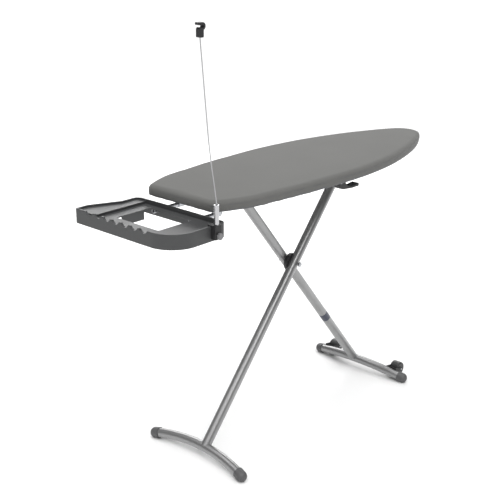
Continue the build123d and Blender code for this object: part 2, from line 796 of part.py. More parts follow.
# ---------------------------------------------------------------- flex holder
holder_x = blunt_x - holder_from_blunt
jaw_y = tray_near - jaw_thickness
holder_y = tray_near - jaw_thickness / 2
jaw_top = tray_top + jaw_hook
jaw_under = jaw_top - jaw_height
dish_inset = tray_wall + 3
socket_under = jaw_top - 16
stud_z = jaw_under + 9
with BuildPart() as flex_clamp:
    with BuildSketch(Plane.XY.offset(jaw_under)):
        with Locations((holder_x, holder_y)):
            RectangleRounded(jaw_width, jaw_thickness, 3)
    extrude(amount=jaw_height)
    with BuildSketch(Plane.XY.offset(tray_top)):
        with Locations((holder_x, tray_near + (dish_inset + jaw_hook) / 2 - 3)):
            Rectangle(jaw_width, dish_inset + jaw_hook + 6)
    extrude(amount=jaw_hook)
    with BuildSketch(Plane.XY.offset(tray_top)):
        with Locations((holder_x, tray_near + dish_inset + jaw_hook / 2)):
            Rectangle(jaw_width, jaw_hook)
    extrude(amount=-tray_lip + 2)
    with BuildSketch(Plane.XY.offset(socket_under)):
        with Locations((holder_x, holder_y)):
            Circle(socket_diameter / 2)
    extrude(amount=jaw_height, mode=Mode.SUBTRACT)
    with BuildSketch(Plane.XZ.offset(-tray_near)):
        with Locations((holder_x, stud_z)):
            Circle(tie_rod / 2 + running_gap)
    extrude(amount=jaw_thickness + 1, mode=Mode.SUBTRACT)
save(flex_clamp, "flex_clamp")

with BuildPart() as clamp_knob:
    with BuildSketch(Plane.XZ.offset(-tray_near + slide_gap)):
        with Locations((holder_x, stud_z)):
            Circle(tie_rod / 2)
    extrude(amount=jaw_thickness)
    with BuildSketch(Plane.XZ.offset(-jaw_y + slide_gap)):
        with Locations((holder_x, stud_z)):
            Circle(knob_diameter / 2)
            with PolarLocations(knob_diameter / 2, 8):
                Circle(1.5, mode=Mode.SUBTRACT)
    extrude(amount=knob_thickness)
save(clamp_knob, "clamp_knob")

socket_top = socket_under + socket_height
with BuildPart() as rod_socket:
    with BuildSketch(Plane.XY.offset(socket_under)):
        with Locations((holder_x, holder_y)):
            Circle(socket_diameter / 2)
    extrude(amount=socket_top - socket_under)
    with BuildSketch(Plane.XY.offset(socket_under + 2)):
        with Locations((holder_x, holder_y)):
            Circle(socket_diameter / 2 - socket_wall)
    extrude(amount=socket_height, mode=Mode.SUBTRACT)
save(rod_socket, "rod_socket")

rod_foot = socket_under + 4
rod_top = (holder_x - flex_rod_lean, holder_y, socket_top + flex_rod_rise)
with BuildPart() as flex_wire:
    with BuildLine() as path:
        FilletPolyline(
            (holder_x, holder_y, rod_foot),
            (holder_x, holder_y, socket_top + 8),
            (holder_x - flex_bend_lean, holder_y, socket_top + flex_bend_rise),
            rod_top,
            radius=[90, 1500],
        )
    with BuildSketch(Plane(origin=path.line @ 0, z_dir=path.line % 0)):
        Circle(flex_rod / 2)
    sweep()
save(flex_wire, "flex_wire")

with BuildPart() as rod_ferrule:
    with BuildSketch(Plane.XY.offset(rod_foot)):
        with Locations((holder_x, holder_y)):
            Circle(socket_diameter / 2 - socket_wall - running_gap)
            Circle(flex_rod / 2, mode=Mode.SUBTRACT)
    extrude(amount=ferrule_length)
save(rod_ferrule, "rod_ferrule")

clip_x, clip_z = rod_top[0], rod_top[2]
ring_x = clip_x + clip_shift
ring_z = clip_z + clip_neck + clip_bore
with BuildPart() as flex_clip:
    with BuildSketch(Plane.XZ.offset(-holder_y - clip_thickness / 2)):
        with Locations((clip_x, clip_z + clip_neck / 2)):
            RectangleRounded(clip_width, clip_neck, 3)
        with Locations((ring_x, ring_z)):
            Circle(clip_ring)
        with Locations((ring_x - clip_arm / 2, ring_z + (clip_ring + clip_bore) / 2)):
            Rectangle(clip_arm, clip_ring - clip_bore)
        with Locations((ring_x, ring_z)):
            Circle(clip_bore, mode=Mode.SUBTRACT)
        with Locations((ring_x - clip_ring, ring_z)):
            Rectangle(2 * clip_ring, 1.4 * clip_bore, mode=Mode.SUBTRACT)
    extrude(amount=clip_thickness)
    add(flex_wire.part, mode=Mode.SUBTRACT)
save(flex_clip, "flex_clip")
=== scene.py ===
import logging
import math
from dataclasses import dataclass
from enum import Enum
from typing import Any, Iterable, Sequence

import bmesh
import bpy
from mathutils import Matrix, Vector, noise


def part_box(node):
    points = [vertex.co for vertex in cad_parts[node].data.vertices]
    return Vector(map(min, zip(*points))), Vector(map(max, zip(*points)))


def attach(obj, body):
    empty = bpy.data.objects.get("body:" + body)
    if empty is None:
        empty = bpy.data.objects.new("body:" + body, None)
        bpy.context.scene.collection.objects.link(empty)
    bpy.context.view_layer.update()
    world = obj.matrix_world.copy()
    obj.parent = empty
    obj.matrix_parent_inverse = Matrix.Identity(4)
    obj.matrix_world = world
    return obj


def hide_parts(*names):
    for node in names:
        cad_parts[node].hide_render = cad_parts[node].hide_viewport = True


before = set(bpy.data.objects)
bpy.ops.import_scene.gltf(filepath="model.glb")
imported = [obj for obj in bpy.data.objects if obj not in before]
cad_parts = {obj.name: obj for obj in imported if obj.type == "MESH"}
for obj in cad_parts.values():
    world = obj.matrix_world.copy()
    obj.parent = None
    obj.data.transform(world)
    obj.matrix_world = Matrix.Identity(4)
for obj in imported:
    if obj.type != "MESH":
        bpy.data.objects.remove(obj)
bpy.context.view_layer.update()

log = logging.getLogger("ironing_board")

MM = 0.001


# ---------------------------------------------------------------- shader writing


class Value:
    """A number socket of a shader tree that turns Python arithmetic into Math nodes."""

    def __init__(self, maker: "ShaderMaker", socket: bpy.types.NodeSocket) -> None:
        """Wraps one output socket.

        Args:
            maker: the material under construction.
            socket: the output socket that carries the number.
        """
        self.maker = maker
        self.socket = socket

    def _math(self, operation: str, first: Any, second: Any = None, clamp: bool = False) -> "Value":
        """Adds one Math node.

        Args:
            operation: the Math node's operation.
            first: a number or a Value for the first input.
            second: a number or a Value for the second input, or None.
            clamp: whether the result is held between 0 and 1.

        Returns:
            The node's result.
        """
        inputs = {0: first} if second is None else {0: first, 1: second}
        return self.maker.node("ShaderNodeMath", {"operation": operation, "use_clamp": clamp}, inputs).value()

    def __add__(self, other: Any) -> "Value":
        """Sum with a number or a Value."""
        return self._math("ADD", self, other)

    __radd__ = __add__

    def __sub__(self, other: Any) -> "Value":
        """Difference with a number or a Value."""
        return self._math("SUBTRACT", self, other)

    def __rsub__(self, other: Any) -> "Value":
        """Difference the other way round."""
        return self._math("SUBTRACT", other, self)

    def __mul__(self, other: Any) -> "Value":
        """Product with a number or a Value."""
        return self._math("MULTIPLY", self, other)

    __rmul__ = __mul__

    def clamped(self) -> "Value":
        """The value held between 0 and 1."""
        return self._math("ADD", self, 0.0, clamp=True)


class Made:
    """A shader node that has just been made, with short ways to its outputs."""

    def __init__(self, maker: "ShaderMaker", node: bpy.types.Node) -> None:
        """Wraps a node.

        Args:
            maker: the material under construction.
            node: the node.
        """
        self.maker = maker
        self.raw = node

    def out(self, key: str | int = 0) -> bpy.types.NodeSocket:
        """The output socket of that name, identifier or index."""
        return self.raw.outputs[key] if isinstance(key, int) else self.maker.find(self.raw.outputs, key)

    def value(self, key: str | int = 0) -> Value:
        """The output socket as a Value for arithmetic."""
        return Value(self.maker, self.out(key))


class ShaderMaker:
    """Builds the node tree of one material round a Principled shader."""

    def __init__(self, name: str) -> None:
        """Starts an empty material.

        Args:
            name: the material's name.
        """
        self.material = bpy.data.materials.new(name)
        self.material.use_nodes = True
        self.tree = self.material.node_tree
        self.tree.nodes.clear()
        self.coords = self.node("ShaderNodeTexCoord", {}, {}).out("Object")
        self.surface = self.node("ShaderNodeBsdfPrincipled", {}, {})
        self.node("ShaderNodeOutputMaterial", {}, {"Surface": self.surface.out("BSDF")})

    @staticmethod
    def find(sockets: Iterable[bpy.types.NodeSocket], key: str) -> bpy.types.NodeSocket:
        """Finds a socket by identifier, or by name among the enabled ones.

        Args:
            sockets: a node's inputs or outputs.
            key: the identifier or the name.

        Returns:
            The socket.
        """
        every = list(sockets)
        for socket in every:
            if socket.identifier == key:
                return socket
        return next(s for s in every if s.name == key and s.enabled)

    def node(self, kind: str, settings: dict[str, Any], inputs: dict[str | int, Any]) -> Made:
        """Makes any node.

        Args:
            kind: the node's type.
            settings: properties, set before the sockets.
            inputs: a number, colour, socket or Value for each socket.

        Returns:
            The node, wrapped.
        """
        node = self.tree.nodes.new(kind)
        for name, setting in settings.items():
            if name == "ramp":
                self._ramp(node, setting)
            else:
                setattr(node, name, setting)
        for key, given in inputs.items():
            socket = node.inputs[key] if isinstance(key, int) else self.find(node.inputs, key)
            given = given.socket if isinstance(given, Value) else given
            if isinstance(given, bpy.types.NodeSocket):
                self.tree.links.new(given, socket)
            else:
                socket.default_value = given
        return Made(self, node)

    @staticmethod
    def _ramp(node: bpy.types.Node, stops: Sequence[tuple[float, float]]) -> None:
        """Sets a colour ramp's grey stops.

        Args:
            node: the ColorRamp node.
            stops: (position, grey) pairs.
        """
        elements = node.color_ramp.elements
        while len(elements) < len(stops):
            elements.new(0.5)
        for element, (position, grey) in zip(elements, stops):
            element.position = position
            element.color = (grey, grey, grey, 1)

    def noise(self, scale: float, detail: float = 3.0, stretch: Vector | None = None) -> Value:
        """Noise on object coordinates.

        Args:
            scale: noise cells per metre.
            detail: octaves.
            stretch: how far the pattern is scaled along each axis, or None.

        Returns:
            The noise, about 0.5 in the middle.
        """
        place = self.coords
        if stretch is not None:
            place = self.node("ShaderNodeMapping", {}, {"Vector": place, "Scale": tuple(stretch)}).out()
        inputs = {"Vector": place, "Scale": scale, "Detail": detail}
        return self.node("ShaderNodeTexNoise", {}, inputs).value("Fac")

    def wave(self, scale: float, along: "Along", wander: float = 0.0) -> Value:
        """Straight bands on object coordinates.

        Args:
            scale: wave scale, per metre.
            along: the axis that the bands follow one another on.
            wander: distortion of the bands.

        Returns:
            The bands, 0 to 1.
        """
        settings = {"wave_type": "BANDS", "bands_direction": along.value, "wave_profile": "SIN"}
        inputs = {"Vector": self.coords, "Scale": scale, "Distortion": wander, "Detail": 1.0}
        return self.node("ShaderNodeTexWave", settings, inputs).value("Fac")

    def blend(self, share: Any, first: Sequence[float], second: Sequence[float]) -> bpy.types.NodeSocket:
        """Mixes two colours.

        Args:
            share: how much of the second colour, a number or a Value.
            first: the first colour.
            second: the second colour.

        Returns:
            The mixed colour's socket.
        """
        inputs = {"Factor_Float": share, "A_Color": (*first, 1), "B_Color": (*second, 1)}
        return self.node("ShaderNodeMix", {"data_type": "RGBA"}, inputs).out("Result_Color")

    def bump(self, height: Value, strength: float, distance: float) -> bpy.types.NodeSocket:
        """Turns a height into a normal.

        Args:
            height: the height pattern.
            strength: bump strength.
            distance: height of the pattern in metres.

        Returns:
            The normal's socket.
        """
        inputs = {"Height": height, "Strength": strength, "Distance": distance}
        return self.node("ShaderNodeBump", {}, inputs).out("Normal")

    def finish(self, constants: dict[str, Any], varying: dict[str, Any]) -> bpy.types.Material:
        """Feeds the Principled shader.

        Args:
            constants: values set directly on sockets.
            varying: sockets or Values linked to sockets.

        Returns:
            The finished material.
        """
        for key, given in constants.items():
            self.find(self.surface.raw.inputs, key).default_value = given
        for key, given in varying.items():
            source = given.socket if isinstance(given, Value) else given
            self.tree.links.new(source, self.find(self.surface.raw.inputs, key))
        return self.material


class Along(Enum):
    """The axis on which the bands of a pattern follow one another."""

    X = "X"
    Y = "Y"


Colour = tuple[float, float, float]

# Length of one band of the Wave texture at scale 1.
WAVE_BAND = 0.31


@dataclass(frozen=True)
class WovenCloth:
    """Plain-woven cotton with a dry, slightly brushed face."""

    name: str
    dark: Colour
    light: Colour
    thread: float = 1.1 * MM

    def build(self) -> bpy.types.Material:
        """Makes the material."""
        maker = ShaderMaker(self.name)
        scale = WAVE_BAND / (math.pi * self.thread)
        weft = maker.wave(scale, Along.X, 0.6)
        warp = maker.wave(scale, Along.Y, 0.6)
        weave = weft * warp + (1 - weft) * (1 - warp)
        slub = maker.noise(260, 2.0, Vector((0.25, 1.0, 1.0)))
        wear = maker.noise(7, 3.0)
        share = (weave * 0.35 + slub * 0.35 + wear * 0.3).clamped()
        fuzz = maker.noise(1600, 2.0)
        height = weave * 0.7 + fuzz * 0.3
        varying = {
            "Base Color": maker.blend(share, self.dark, self.light),
            "Roughness": (0.78 + slub * 0.16).clamped(),
            "Normal": maker.bump(height, 0.35, 0.0003),
        }
        constants = {"Sheen Weight": 0.12, "Sheen Roughness": 0.5, "Specular IOR Level": 0.25}
        return maker.finish(constants, varying)


@dataclass(frozen=True)
class NeedleFelt:
    """Thick pale felt with a matted surface."""

    name: str
    dark: Colour
    light: Colour

    def build(self) -> bpy.types.Material:
        """Makes the material."""
        maker = ShaderMaker(self.name)
        fibres = maker.noise(420, 5.0)
        clumps = maker.noise(60, 3.0)
        share = (fibres * 0.6 + clumps * 0.4).clamped()
        varying = {
            "Base Color": maker.blend(share, self.dark, self.light),
            "Roughness": (0.85 + clumps * 0.12).clamped(),
            "Normal": maker.bump(fibres, 0.6, 0.0006),
        }
        return maker.finish({"Specular IOR Level": 0.15}, varying)


@dataclass(frozen=True)
class MouldedPlastic:
    """Injection-moulded plastic with a fine spark-eroded grain."""

    name: str
    colour: Colour
    roughness: float = 0.45
    grain: float = 0.9 * MM
    depth: float = 0.06 * MM

    def build(self) -> bpy.types.Material:
        """Makes the material."""
        maker = ShaderMaker(self.name)
        grain = maker.noise(1 / self.grain, 2.0)
        flow = maker.noise(18, 3.0)
        rubs = maker.noise(90, 4.0, Vector((1.0, 0.3, 1.0)))
        lift = tuple(min(1.0, c * 1.35 + 0.006) for c in self.colour)
        varying = {
            "Base Color": maker.blend((flow * 0.6 + rubs * 0.4).clamped(), self.colour, lift),
            "Roughness": (self.roughness - 0.1 + flow * 0.12 + rubs * 0.1).clamped(),
            "Normal": maker.bump(grain, 0.3, self.depth),
        }
        return maker.finish({"IOR": 1.49}, varying)


@dataclass(frozen=True)
class SilverPaint:
    """Metallic paint on steel tube: fine flake under a thin clear coat."""

    name: str
    dark: Colour
    light: Colour
    roughness: float = 0.34
    metallic: float = 0.75

    def build(self) -> bpy.types.Material:
        """Makes the material."""
        maker = ShaderMaker(self.name)
        flake = maker.noise(2600, 1.0)
        cloud = maker.noise(11, 3.0)
        scuff = maker.noise(160, 4.0, Vector((1.0, 1.0, 0.15)))
        varying = {
            "Base Color": maker.blend((flake * 0.55 + cloud * 0.45).clamped(), self.dark, self.light),
            "Metallic": (self.metallic - 0.08 + flake * 0.16).clamped(),
            "Roughness": (self.roughness - 0.06 + scuff * 0.12).clamped(),
            "Normal": maker.bump(flake, 0.12, 0.00004),
        }
        return maker.finish({"Coat Weight": 0.25, "Coat Roughness": 0.18}, varying)


@dataclass(frozen=True)
class PlatedSteel:
    """Drawn and plated steel with fine lines along its length."""

    name: str
    dark: Colour
    light: Colour
    roughness: float = 0.3
    lines: tuple[float, float, float] = (0.02, 1.0, 1.0)

    def build(self) -> bpy.types.Material:
        """Makes the material."""
        maker = ShaderMaker(self.name)
        streak = maker.noise(1500, 2.0, Vector(self.lines))
        stain = maker.noise(35, 3.0)
        varying = {
            "Base Color": maker.blend((streak * 0.5 + stain * 0.5).clamped(), self.dark, self.light),
            "Roughness": (self.roughness - 0.08 + streak * 0.1 + stain * 0.08).clamped(),
            "Normal": maker.bump(streak, 0.1, 0.00003),
        }
        return maker.finish({"Metallic": 1.0}, varying)


@dataclass(frozen=True)
class PowderCoat:
    """Powder-coated sheet steel with a light orange peel."""

    name: str
    colour: Colour

    def build(self) -> bpy.types.Material:
        """Makes the material."""
        maker = ShaderMaker(self.name)
        peel = maker.noise(420, 2.0)
        cloud = maker.noise(9, 2.0)
        dim = tuple(c * 0.88 for c in self.colour)
        varying = {
            "Base Color": maker.blend((cloud * 0.7 + peel * 0.3).clamped(), dim, self.colour),
            "Roughness": (0.38 + peel * 0.14).clamped(),
            "Normal": maker.bump(peel, 0.25, 0.00008),
        }
        return maker.finish({"IOR": 1.5}, varying)


CLOTH = WovenCloth("anthracite_cotton", (0.096, 0.096, 0.092), (0.158, 0.158, 0.151))
STITCH = WovenCloth("hem_thread", (0.05, 0.05, 0.05), (0.09, 0.09, 0.088), 0.5 * MM)
FELT = NeedleFelt("pad_felt", (0.52, 0.51, 0.47), (0.72, 0.71, 0.66))
TRAY = MouldedPlastic("tray_grey_plastic", (0.040, 0.041, 0.042), 0.46, 0.8 * MM, 0.07 * MM)
BLACK = MouldedPlastic("black_plastic", (0.008, 0.008, 0.009), 0.5)
CAP_GREY = MouldedPlastic("cap_grey_plastic", (0.075, 0.075, 0.077), 0.5)
KNOB_GREY = MouldedPlastic("knob_grey_plastic", (0.16, 0.16, 0.165), 0.4)
WHEEL = MouldedPlastic("wheel_plastic", (0.018, 0.018, 0.019), 0.38, 0.6 * MM, 0.04 * MM)
SILVER = SilverPaint("leg_silver_paint", (0.235, 0.235, 0.237), (0.38, 0.38, 0.382))
ZINC = PlatedSteel("zinc_plate", (0.36, 0.37, 0.39), (0.54, 0.55, 0.57))
BRIGHT = PlatedSteel("polished_steel", (0.42, 0.42, 0.43), (0.56, 0.56, 0.57), 0.16, (1.0, 1.0, 0.02))
WIRE = PlatedSteel("spring_wire", (0.30, 0.30, 0.31), (0.46, 0.46, 0.47), 0.28, (1.0, 1.0, 0.02))
COAT = PowderCoat("frame_powder_coat", (0.10, 0.103, 0.106))
LABEL = MouldedPlastic("label_film", (0.035, 0.04, 0.065), 0.3, 2 * MM, 0.01 * MM)


# ---------------------------------------------------------------- mesh and node-tree helpers


def add_object(name: str, mesh: bpy.types.Mesh) -> bpy.types.Object:
    """Links a mesh into the scene as an object at the origin.

    Args:
        name: the object's name.
        mesh: its mesh.

    Returns:
        The object.
    """
    piece = bpy.data.objects.new(name, mesh)
    bpy.context.scene.collection.objects.link(piece)
    return piece


def dress(piece: bpy.types.Object, material: bpy.types.Material, smooth: bool = True) -> None:
    """Gives a piece one material and its shading.

    Args:
        piece: the object.
        material: its material.
        smooth: whether its faces are shaded smooth.
    """
    piece.data.materials.clear()
    piece.data.materials.append(material)
    for face in piece.data.polygons:
        face.use_smooth = smooth


def apply_modifiers(piece: bpy.types.Object) -> None:
    """Turns the evaluated object into its plain mesh and drops the modifiers."""
    graph = bpy.context.evaluated_depsgraph_get()
    graph.update()
    mesh = bpy.data.meshes.new_from_object(piece.evaluated_get(graph))
    piece.modifiers.clear()
    piece.data = mesh


class GeometryTree:
    """A Geometry Nodes group built in code, with named inputs."""

    def __init__(self, name: str) -> None:
        """Starts a group with a geometry input and output.

        Args:
            name: the group's name.
        """
        self.group = bpy.data.node_groups.new(name, "GeometryNodeTree")
        self.group.interface.new_socket("Geometry", in_out="INPUT", socket_type="NodeSocketGeometry")
        self.group.interface.new_socket("Geometry", in_out="OUTPUT", socket_type="NodeSocketGeometry")
        self.sockets: dict[str, str] = {}
        self.source = self.group.nodes.new("NodeGroupInput")

    def size(self, name: str, kind: str = "NodeSocketFloat") -> str:
        """Adds a named input.

        Args:
            name: the input's name.
            kind: its socket type.

        Returns:
            The name, for use with input().
        """
        item = self.group.interface.new_socket(name, in_out="INPUT", socket_type=kind)
        self.sockets[name] = item.identifier
        return name

    def input(self, name: str) -> bpy.types.NodeSocket:
        """The group input's socket of that name."""
        return self.source.outputs[name]

    def node(self, kind: str, settings: dict[str, Any], inputs: dict[str | int, Any]) -> bpy.types.Node:
        """Makes any node of the tree.

        Args:
            kind: the node's type.
            settings: properties, set first.
            inputs: a value or an output socket for each input socket.

        Returns:
            The node.
        """
        node = self.group.nodes.new(kind)
        for name, setting in settings.items():
            setattr(node, name, setting)
        for key, given in inputs.items():
            socket = node.inputs[key]
            if isinstance(given, bpy.types.NodeSocket):
                self.group.links.new(given, socket)
            else:
                socket.default_value = given
        return node

    def close(self, geometry: bpy.types.NodeSocket) -> None:
        """Ends the tree in Realize Instances and Set Material.

        Args:
            geometry: the geometry to put out.
        """
        self.size("Material", "NodeSocketMaterial")
        real = self.node("GeometryNodeRealizeInstances", {}, {0: geometry})
        coloured = self.node("GeometryNodeSetMaterial", {},
                             {0: real.outputs[0], "Material": self.input("Material")})
        target = self.group.nodes.new("NodeGroupOutput")
        self.group.links.new(coloured.outputs[0], target.inputs[0])

    def run(self, piece: bpy.types.Object, values: dict[str, Any], material: bpy.types.Material) -> None:
        """Runs the tree on an object and keeps the result as its plain mesh.

        Args:
            piece: the object that carries the input geometry.
            values: a value for each named input.
            material: the material that the result takes.
        """
        modifier = piece.modifiers.new("made", "NODES")
        modifier.node_group = self.group
        for name, given in {**values, "Material": material}.items():
            modifier[self.sockets[name]] = given
        apply_modifiers(piece)
        for face in piece.data.polygons:
            face.use_smooth = True


def tube_tree() -> GeometryTree:
    """A tree that sweeps a round tube along the input's edges.

    Returns:
        The tree, with inputs Radius, Step and Sides.
    """
    tree = GeometryTree("tube_sweep")
    tree.size("Radius")
    tree.size("Step")
    tree.size("Sides", "NodeSocketInt")
    curve = tree.node("GeometryNodeMeshToCurve", {}, {0: tree.input("Geometry")})
    even = tree.node("GeometryNodeResampleCurve", {"mode": "LENGTH"},
                     {"Curve": curve.outputs[0], "Length": tree.input("Step")})
    ring = tree.node("GeometryNodeCurvePrimitiveCircle", {"mode": "RADIUS"},
                     {"Resolution": tree.input("Sides"), "Radius": tree.input("Radius")})
    swept = tree.node("GeometryNodeCurveToMesh", {},
                      {"Curve": even.outputs[0], "Profile Curve": ring.outputs[0], "Fill Caps": True})
    tree.close(swept.outputs[0])
    return tree


def stitch_tree() -> GeometryTree:
    """A tree that lays short stitches along the input's edges.

    Returns:
        The tree, with inputs Pitch, Length and Thread.
    """
    tree = GeometryTree("stitch_row")
    tree.size("Pitch")
    tree.size("Length")
    tree.size("Thread")
    curve = tree.node("GeometryNodeMeshToCurve", {}, {0: tree.input("Geometry")})
    points = tree.node("GeometryNodeCurveToPoints", {"mode": "LENGTH"},
                       {"Curve": curve.outputs[0], "Length": tree.input("Pitch")})
    stitch = tree.node("GeometryNodeMeshUVSphere", {}, {"Segments": 6, "Rings": 4, "Radius": 1.0})
    shape = tree.node("ShaderNodeCombineXYZ", {},
                      {"X": tree.input("Thread"), "Y": tree.input("Thread"), "Z": tree.input("Length")})
    placed = tree.node("GeometryNodeInstanceOnPoints", {},
                       {"Points": points.outputs[0], "Instance": stitch.outputs[0],
                        "Rotation": points.outputs["Rotation"], "Scale": shape.outputs[0]})
    tree.close(placed.outputs[0])
    return tree


def rib_tree() -> GeometryTree:
    """A tree that sets ribs round a ring, for a knob's grip.

    Returns:
        The tree, with inputs Count, Ring, Rib, Width and Middle.
    """
    tree = GeometryTree("knob_ribs")
    tree.size("Count", "NodeSocketInt")
    tree.size("Ring")
    tree.size("Rib")
    tree.size("Width")
    tree.size("Middle", "NodeSocketVector")
    circle = tree.node("GeometryNodeMeshCircle", {},
                       {"Vertices": tree.input("Count"), "Radius": tree.input("Ring")})
    rib = tree.node("GeometryNodeMeshCylinder", {},
                    {"Vertices": 8, "Radius": tree.input("Rib"), "Depth": tree.input("Width")})
    placed = tree.node("GeometryNodeInstanceOnPoints", {},
                       {"Points": circle.outputs[0], "Instance": rib.outputs[0]})
    turned = tree.node("GeometryNodeTransform", {},
                       {"Geometry": placed.outputs[0], "Translation": tree.input("Middle"),
                        "Rotation": (math.pi / 2, 0, 0)})
    tree.close(turned.outputs[0])
    return tree


def path_mesh(name: str, points: Sequence[Vector], closed: bool) -> bpy.types.Mesh:
    """A mesh of edges only, along points.

    Args:
        name: the mesh's name.
        points: the places.
        closed: whether the last point joins the first.

    Returns:
        The mesh.
    """
    edges = [(i, i + 1) for i in range(len(points) - 1)]
    if closed:
        edges.append((len(points) - 1, 0))
    mesh = bpy.data.meshes.new(name)
    mesh.from_pydata([tuple(p) for p in points], edges, [])
    return mesh


def outline_of(node: str, height: float, count: int) -> list[Vector]:
    """Even points round a convex CAD node's edge at one height.

    Args:
        node: the CAD node's name.
        height: the z of the vertices to follow, in metres.
        count: how many points.

    Returns:
        The points, anticlockwise, at z = 0.
    """
    spots = {(round(v.co.x, 5), round(v.co.y, 5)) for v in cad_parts[node].data.vertices
             if abs(v.co.z - height) < 0.2 * MM}
    middle = sum(x for x, _ in spots) / len(spots)
    ordered = [Vector((x, y, 0)) for x, y in sorted(spots, key=lambda p: math.atan2(p[1], p[0] - middle))]
    lengths = [0.0]
    for a, b in zip(ordered, ordered[1:] + ordered[:1]):
        lengths.append(lengths[-1] + (b - a).length)
    points, i = [], 0
    for k in range(count):
        goal = lengths[-1] * k / count
        while lengths[i + 1] < goal:
            i += 1
        share = (goal - lengths[i]) / (lengths[i + 1] - lengths[i])
        points.append(ordered[i].lerp(ordered[(i + 1) % len(ordered)], share))
    return points


def drawn_in(points: Sequence[Vector], inset: float) -> list[Vector]:
    """An outline drawn in towards its middle.

    Args:
        points: the outline, anticlockwise.
        inset: how far in, in metres.

    Returns:
        The new outline.
    """
    result = []
    for i, point in enumerate(points):
        along = points[(i + 2) % len(points)] - points[i - 2]
        inward = Vector((-along.y, along.x, 0)).normalized()
        result.append(point + inward * inset)
    return result


def slab_mesh(name: str, outline: Sequence[Vector], levels: Sequence[tuple[float, float]]) -> bpy.types.Mesh:
    """A closed slab from an outline and its edge profile.

    Args:
        name: the mesh's name.
        outline: the outline at no inset.
        levels: (inset, z) rings from the bottom to the top.

    Returns:
        The mesh.
    """
    mesh = bpy.data.meshes.new(name)
    work = bmesh.new()
    rings = []
    for inset, z in levels:
        rings.append([work.verts.new((p.x, p.y, z)) for p in drawn_in(outline, inset)])
    count = len(outline)
    for low, high in zip(rings, rings[1:]):
        for i in range(count):
            work.faces.new((low[i], low[(i + 1) % count], high[(i + 1) % count], high[i]))
    work.faces.new(list(reversed(rings[0])))
    work.faces.new(rings[-1])
    work.to_mesh(mesh)
    work.free()
    return mesh


# ---------------------------------------------------------------- the board's top


